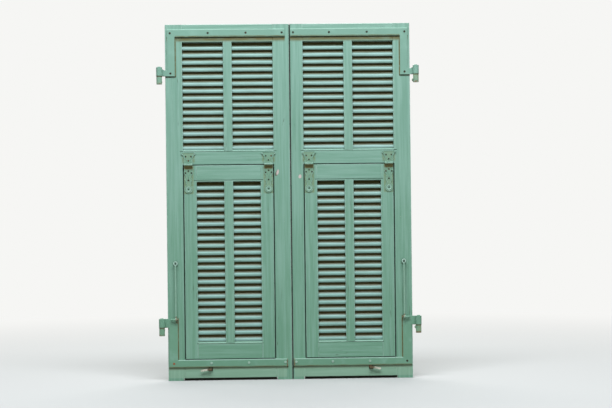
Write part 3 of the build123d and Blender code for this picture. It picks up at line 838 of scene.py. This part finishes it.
def lay_slats(node, count, body, seed):
    """Slats copied up one opening, each bowed and set a little differently, as hand-fitted ones are."""
    sizes = bpy.context.scene.shutter_slats
    low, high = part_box(node)
    rise = sizes.width * math.sin(sizes.slope) + sizes.thickness * math.cos(sizes.slope)
    pitch = (high.z - low.z - rise) / (count - 1)
    length = high.x - low.x
    master = shape_slat(length, f"{node}_master")
    chance = random.Random(seed)
    housed, unevenness = 0.02, 0.004
    laid = []
    for i in range(count):
        slat = own_copy(master, f"{node}_{i}")
        bow = chance.uniform(-1, 1) * sizes.bow
        dip = chance.uniform(-1, 1) * sizes.bow
        # Each bay bows by itself, because the muntin holds the middle and the housings the ends
        for v in slat.data.vertices:
            free = (v.co.x / length + 0.5 - housed) / (1 - 2 * housed)
            arch = math.sin(2 * math.pi * min(max(free, 0), 1))
            v.co.z += abs(arch) * (bow if arch > 0 else dip) * 0.6
            v.co.y += abs(arch) * (dip if arch > 0 else bow) * 0.4
        slat.data.transform(
            Matrix.Translation(((low.x + high.x) / 2, (low.y + high.y) / 2,
                                low.z + rise / 2 + i * pitch))
            @ Matrix.Rotation(sizes.slope + chance.uniform(-unevenness, unevenness), 4, "X"))
        laid.append(slat)
    bpy.data.objects.remove(master)
    hand_over(join(laid, f"{node}_planed"), slat_paint_with_painted_light(), body, "painted_pine", node)


class SHUTTERS_OT_fixed_slats(bpy.types.Operator):
    """The fixed slats above the mid rail"""

    bl_idname = "shutters.fixed_slats"
    bl_label = "Fixed slats"

    def execute(self, context):
        for side, seed in (("left", 11), ("right", 12)):
            lay_slats(f"{side}_louvre_slats", context.scene.shutter_slats.upper_count,
                      f"{side}_leaf", seed)
        return {"FINISHED"}


class SHUTTERS_OT_flap_slats(bpy.types.Operator):
    """The slats of the top-hung flaps"""

    bl_idname = "shutters.flap_slats"
    bl_label = "Flap slats"

    def execute(self, context):
        for side, seed in (("left", 21), ("right", 22)):
            lay_slats(f"{side}_flap_slats", context.scene.shutter_slats.flap_count,
                      f"{side}_flap", seed)
        return {"FINISHED"}


# Ironwork


def forge(node, round_over, turn=30):
    """A copy of an iron node with its edges hammered round."""
    piece = copy_node(node, f"{node}_forged")
    soften(piece, round_over, 2, turn)
    return piece


def ridge(start, end, y, width, height):
    """A raised rib between two (x, z) places on a face that looks towards the street."""
    (x0, z0), (x1, z1) = start, end
    half = [size / 2 for size in (math.hypot(x1 - x0, z1 - z0), height, width)]
    rib = block("rib", [-size for size in half], half)
    pick_faces(rib, lambda c, n: to_street(n))
    bpy.ops.transform.resize(value=(0.92, 1, 0.4), center_override=(0, -height / 2, 0))
    done()
    rib.rotation_euler = (0, -math.atan2(z1 - z0, x1 - x0), 0)
    rib.location = ((x0 + x1) / 2, y - height / 2, (z0 + z1) / 2)
    place_applied(rib)
    return rib


def boss(x, y, z, radius, height, ring):
    """A round raised boss whose middle is sunk inside a ring, facing the street."""
    deselect()
    bpy.ops.mesh.primitive_cylinder_add(
        vertices=24, radius=radius, depth=height, rotation=(math.pi / 2, 0, 0),
        location=(x, y - height / 2, z))
    round_boss = bpy.context.active_object
    place_applied(round_boss)
    pick_faces(round_boss, lambda c, n: to_street(n))
    bpy.ops.mesh.inset(thickness=ring, depth=0)
    bpy.ops.mesh.inset(thickness=ring * 0.3, depth=-height * 0.75)
    done()
    soften(round_boss, ring * 0.22, 2, 30)
    return round_boss


SCREW_RADIUS = 4.2 * MM


def shape_screw(name):
    """A slotted countersunk head that looks towards the street, a little sunk in its countersink."""
    radius, slot, slot_depth = SCREW_RADIUS, 1.1 * MM, 0.9 * MM
    deselect()
    bpy.ops.mesh.primitive_cylinder_add(
        vertices=18, radius=radius, depth=1.6 * MM, rotation=(math.pi / 2, 0, 0))
    head = bpy.context.active_object
    head.name = name
    place_applied(head)
    pick_faces(head, lambda c, n: to_street(n))
    bpy.ops.mesh.inset(thickness=radius * 0.18, depth=0.25 * MM)
    bpy.ops.mesh.inset(thickness=radius * 0.3, depth=0.15 * MM)
    done()
    score(head, [((x, 0, 0), (1, 0, 0)) for x in (-slot / 2, slot / 2)])
    pick_faces(head, lambda c, n: n.y < -0.3 and abs(c.x) < 0.45 * slot and abs(c.z) < radius * 0.9)
    bpy.ops.mesh.extrude_region_move(TRANSFORM_OT_translate={"value": (0, slot_depth, 0)})
    done()
    return head


def drive_screws(name, body, places, seed, material, pale=0.0):
    """Screw heads at (x, y, z, radius) places, each turned its own way, as one piece.

    With pale above nothing they are marked as arrises are, which paints their domed heads paler: a
    painted highlight.
    """
    chance = random.Random(seed)
    master = shape_screw(f"{name}_master")
    if pale:
        master.data.attributes.new("arris", "FLOAT", "FACE")
        mark_faces(master, "arris", lambda c, n: True, pale)
    heads = []
    for i, (x, y, z, radius) in enumerate(places):
        head = own_copy(master, f"{name}_{i}")
        size = radius / SCREW_RADIUS
        head.data.transform(
            Matrix.Translation((x, y, z)) @ Matrix.Rotation(chance.uniform(0, math.pi), 4, "Y")
            @ Matrix.Diagonal((size, 1, size, 1)))
        heads.append(head)
    bpy.data.objects.remove(master)
    hand_over(join(heads, name), material, body, "painted_iron", turn=30)


class SHUTTERS_OT_corner_straps(bpy.types.Operator):
    """Flat corner straps with rolled eyes"""

    bl_idname = "shutters.corner_straps"
    bl_label = "Corner straps"

    def execute(self, context):
        for side in SIDES:
            for name in ("top_strap", "bottom_strap"):
                node = f"{side}_{name}"
                hand_over(forge(node, 0.6 * MM), painted_forged_iron(), f"{side}_leaf",
                          "painted_iron", node)
        return {"FINISHED"}


# Places along X of the flap hinges, from the middle of the pair
HINGES = (451 * MM, 91 * MM)
KNUCKLE_Z = 969.5 * MM
PLATE_FACE = -37.0 * MM


class SHUTTERS_OT_flap_hinges(bpy.types.Operator):
    """Crown plates and flap straps in relief, with their knuckles"""

    bl_idname = "shutters.flap_hinges"
    bl_label = "Flap hinges"

    def execute(self, context):
        sink = 1.1 * MM
        field = PLATE_FACE + sink
        for side, sign in SIDES.items():
            crowns = copy_node(f"{side}_hinge_crowns", f"{side}_hinge_crowns_forged")
            straps = copy_node(f"{side}_flap_straps", f"{side}_flap_straps_forged")
            for plate in (crowns, straps):
                pick_faces(plate, lambda c, n: n.y < -0.99 and abs(c.y - PLATE_FACE) < 0.1 * MM)
                bpy.ops.mesh.inset(thickness=1.7 * MM, depth=0, use_even_offset=True)
                bpy.ops.mesh.inset(thickness=0.5 * MM, depth=-sink, use_even_offset=True)
                done()
                soften(plate, 0.3 * MM, 1, 40)
                # The sunk field is marked to be painted darker: dirt with painted shade of the recess
                mark_faces(plate, "grime_and_shade", lambda c, n: to_street(n) and abs(c.y - field) < 0.15 * MM)
            crown_parts, strap_parts = [crowns], [straps]
            for x in (sign * h for h in HINGES):
                z = KNUCKLE_Z
                for way in (-1, 1):
                    crown_parts.append(ridge(
                        (x + way * 3 * MM, z + 12 * MM), (x + way * 22 * MM, z + 47 * MM),
                        field, 2.6 * MM, 1.2 * MM))
                    crown_parts.append(boss(
                        x + way * 28 * MM, PLATE_FACE, z + 50.5 * MM, 4.2 * MM, 1.6 * MM, 1.3 * MM))
                    strap_parts.append(ridge(
                        (x + way * 15 * MM, z - 17 * MM), (x - way * 9.5 * MM, z - 78 * MM),
                        field, 2.6 * MM, 1.2 * MM))
                strap_parts.append(boss(x, field, z - 109 * MM, 12.5 * MM, 1.7 * MM, 2.6 * MM))
            for parts, body, node in ((crown_parts, f"{side}_leaf", f"{side}_hinge_crowns"),
                                      (strap_parts, f"{side}_flap", f"{side}_flap_straps")):
                hand_over(join(parts, parts[0].name), painted_forged_iron(), body,
                          "painted_iron", node, turn=30)
        return {"FINISHED"}


class SHUTTERS_OT_fittings(bpy.types.Operator):
    """Stays, catches, pintles and bolts"""

    bl_idname = "shutters.fittings"
    bl_label = "Stays, catches, pintles and bolts"

    def execute(self, context):
        iron, ring_foot = painted_forged_iron(), 519 * MM
        for side in SIDES:
            stay = copy_node(f"{side}_stay_bar", f"{side}_stay_bar_forged")
            soften(stay, 1.9 * MM, 3, 60, lambda a, b: abs(a.z - b.z) > 100 * MM)
            soften(stay, 0.7 * MM, 2, 50)
            # The bar is marked a little pale and the ring at its head fully pale, so both are painted
            # paler: painted highlight
            mark_faces(stay, "arris", lambda c, n: n.y < 0.5 and c.z < ring_foot, 0.35)
            mark_faces(stay, "arris", lambda c, n: n.y < 0.5 and c.z > ring_foot, 1.0)
            hand_over(stay, iron, f"{side}_stay", "painted_iron", f"{side}_stay_bar")
            for name, round_over, turn, material, body, slot in (
                    ("stay_fixings", 0.6, 50, iron, f"{side}_leaf", "painted_iron"),
                    # The catch brackets are dark rusted steel, which also paints the shade of the
                    # catch's slot
                    ("catch_bracket", 0.5, 50, rusty_steel_and_slot_shade(), f"{side}_leaf", "painted_iron"),
                    ("catch_tongue", 0.8, 40, worn_forged_iron(), f"{side}_catch", "worn_iron"),
                    ("pintles", 1.1, 50, iron, "wall_pintles", "painted_iron")):
                node = f"{side}_{name}"
                hand_over(forge(node, round_over * MM, turn), material, body, slot, node)
        for node, body in (("left_bolt_keeps", "left_leaf"), ("left_top_bolt", "left_top_bolt"),
                           ("left_bottom_bolt", "left_bottom_bolt")):
            hand_over(forge(node, 0.5 * MM, 50), iron, body, "back_iron", node)
        return {"FINISHED"}


class SHUTTERS_OT_screws(bpy.types.Operator):
    """Slotted screws of the straps, hinges and catches"""

    bl_idname = "shutters.screws"
    bl_label = "Screws"

    def execute(self, context):
        edge, strap_y, plate_y, catch_y = 550.5, -38.9, PLATE_FACE / MM + 1, -36.8
        big, small, tiny, painted_over = 4.8, 3.4, 2.2, 5.6
        # (distance from the outer edge, y, z, radius), all in mm
        rusty = [(u, strap_y, 1561.5, big) for u in (23, 193, 363, 525)]
        rusty += [(26, strap_y, 77.5, big), (24, strap_y, 1381, big)]
        rusty += [(u, catch_y, 51, tiny) for u in (183.5, 196.5)]
        painted = [(u, strap_y - 1.3, 79, painted_over) for u in (194, 362, 526)]
        # (x and z from a knuckle's middle), in mm
        on_crown = ((-12, 38), (12, 38), (0, 19))
        on_strap = ((0, -27), (-13.5, -36), (13.5, -36), (0, -69), (0, -109))
        for side, sign in SIDES.items():
            leaf, overpainted = (
                [(sign * (edge - u) * MM, y * MM, z * MM, radius * MM) for u, y, z, radius in places]
                for places in (rusty, painted))
            flap = []
            for x in HINGES:
                for screws, places in ((leaf, on_crown), (flap, on_strap)):
                    screws += [(sign * x + dx * MM, plate_y * MM, KNUCKLE_Z + dz * MM, small * MM)
                               for dx, dz in places]
            drive_screws(f"{side}_leaf_screws", f"{side}_leaf", leaf, 31, rusty_steel_and_slot_shade())
            drive_screws(f"{side}_leaf_painted_screws", f"{side}_leaf", overpainted, 33,
                         painted_forged_iron(), pale=1.0)
            drive_screws(f"{side}_flap_screws", f"{side}_flap", flap, 32, rusty_steel_and_slot_shade())
        return {"FINISHED"}


# Strips


def shade_strip(name, low, high, round_over, body):
    """A near-black strip between two corners, that paints shade."""
    strip = block(name, low, high)
    soften(strip, round_over, 1, 60)
    hand_over(strip, painted_shade_black(), body, "painted_pine")


class SHUTTERS_OT_meeting_strips(bpy.types.Operator):
    """Thin near-black strips in the gap between the leaves, one on each, clear of the other: they stand
    for the rebate and paint the gap's shade
    """

    bl_idname = "shutters.meeting_strips"
    bl_label = "Meeting strips"

    def execute(self, context):
        for side, x_low, x_high, y_front in (("left", 6.0, 8.2, -22), ("right", 8.8, 11.0, -12)):
            shade_strip(
                f"{side}_meeting_strip", (x_low * MM, y_front * MM, 2 * MM),
                (x_high * MM, (y_front + 9) * MM, 1598 * MM), 0.3 * MM, f"{side}_leaf")
        return {"FINISHED"}


class SHUTTERS_OT_foot_strips(bpy.types.Operator):
    """Dark strips under the bottom rails, between the feet, where there is only shade: painted shade"""

    bl_idname = "shutters.foot_strips"
    bl_label = "Foot strips"

    def execute(self, context):
        housed = 4.5 * MM
        for side, sign in SIDES.items():
            outer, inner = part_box(f"{side}_hinge_stile"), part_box(f"{side}_meeting_stile")
            ends = (inner[1].x, outer[0].x) if sign > 0 else (outer[1].x, inner[0].x)
            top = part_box(f"{side}_bottom_rail")[0].z
            shade_strip(
                f"{side}_foot_strip", (ends[0] - housed, -28 * MM, 1 * MM),
                (ends[1] + housed, -24 * MM, top), 0.4 * MM, f"{side}_leaf")
        return {"FINISHED"}


# Stage


class SHUTTERS_OT_stage(bpy.types.Operator):
    """Pale floor, soft light and the camera"""

    bl_idname = "shutters.stage"
    bl_label = "Stage"

    def execute(self, context):
        scene, setting = context.scene, context.scene.shutter_stage
        scene.view_settings.view_transform = "Standard"
        deselect()
        bpy.ops.mesh.primitive_circle_add(vertices=96, radius=40, fill_type="NGON")
        floor = context.active_object
        floor.name = "floor"
        finish_in(floor, pale_floor())

        world = bpy.data.worlds.new("studio")
        scene.world = world
        world.use_nodes = True
        tree = world.node_tree
        tree.nodes.clear()
        # The camera sees plain white; the pieces are lit by a sky that is brighter overhead
        ray = add_node(tree, "LightPath", output="Is Camera Ray")
        colour = coat(tree, srgb("#EDF3F6"), "#F6F6F4", ray)
        way = add_node(tree, "TexCoord", output="Generated")
        height = add_node(tree, "SeparateXYZ", way, output="Z")
        lit = add_node(
            tree, "MapRange", height, 0.0, 0.8, 0.45 * setting.sky, 1.45 * setting.sky, **SMOOTH)
        strength = add_node(tree, "Mix", ray, lit, 1.0, data_type="FLOAT")
        add_node(tree, "OutputWorld", add_node(tree, "Background", colour, strength))

        def softbox(name, place, aim, size, power, tone):
            lamp = bpy.data.lights.new(name, "AREA")
            lamp.shape, lamp.size, lamp.size_y = "RECTANGLE", size[0], size[1]
            lamp.energy, lamp.color = power, srgb(tone)[:3]
            holder = bpy.data.objects.new(name, lamp)
            scene.collection.objects.link(holder)
            holder.location = place
            holder.rotation_euler = (Vector(aim) - Vector(place)).to_track_quat("-Z", "Y").to_euler()

        middle = (0, 0, 0.8)
        softbox("street_sky", (0, -2.6, 5.3), middle, (5.0, 1.6), setting.key, "#F3F8FF")
        softbox("back_sky", (0, 3.4, 4.2), middle, (5.0, 2.4), setting.key * 0.5, "#FFFFFF")

        # The camera stands a little to the left of the middle, turned and rolled as in the photograph
        lens = bpy.data.cameras.new("photograph")
        lens.lens = setting.lens
        camera = bpy.data.objects.new("photograph", lens)
        scene.collection.objects.link(camera)
        turn, tilt, roll = (math.radians(a) for a in (1.77, -0.14, -0.645))
        camera.matrix_world = (
            Matrix.Translation((-0.155, -setting.distance, 0.8068))
            @ Matrix.Rotation(-turn, 4, "Z") @ Matrix.Rotation(math.pi / 2 + tilt, 4, "X")
            @ Matrix.Rotation(roll, 4, "Z"))
        scene.camera = camera
        return {"FINISHED"}


OPERATORS = (
    SHUTTERS_OT_stage, SHUTTERS_OT_timber, SHUTTERS_OT_fixed_slats, SHUTTERS_OT_flap_slats,
    SHUTTERS_OT_corner_straps, SHUTTERS_OT_flap_hinges, SHUTTERS_OT_fittings, SHUTTERS_OT_screws,
    SHUTTERS_OT_meeting_strips, SHUTTERS_OT_foot_strips)
GROUPS = {"shutter_paint": ShutterPaint, "shutter_slats": ShutterSlats, "shutter_stage": ShutterStage}


class SHUTTERS_PT_build(bpy.types.Panel):
    """Builds the shutters step by step"""

    bl_label = "Louvred shutters"
    bl_space_type = "VIEW_3D"
    bl_region_type = "UI"
    bl_category = "Shutters"

    def draw(self, context):
        for step in OPERATORS:
            self.layout.operator(step.bl_idname)
        for name, group in GROUPS.items():
            box = self.layout.box()
            for setting in group.__annotations__:
                box.prop(getattr(context.scene, name), setting)


def register():
    for kind in (*GROUPS.values(), *OPERATORS, SHUTTERS_PT_build):
        bpy.utils.register_class(kind)
    for name, group in GROUPS.items():
        setattr(bpy.types.Scene, name, bpy.props.PointerProperty(type=group))


def unregister():
    for name in GROUPS:
        delattr(bpy.types.Scene, name)
    for kind in (SHUTTERS_PT_build, *OPERATORS[::-1], *list(GROUPS.values())[::-1]):
        bpy.utils.unregister_class(kind)


def main():
    register()
    bpy.ops.shutters.stage()
    bpy.ops.shutters.timber()
    bpy.ops.shutters.fixed_slats()
    bpy.ops.shutters.flap_slats()
    bpy.ops.shutters.corner_straps()
    bpy.ops.shutters.flap_hinges()
    bpy.ops.shutters.fittings()
    bpy.ops.shutters.screws()
    bpy.ops.shutters.meeting_strips()
    bpy.ops.shutters.foot_strips()


if __name__ == "__main__":
    main()
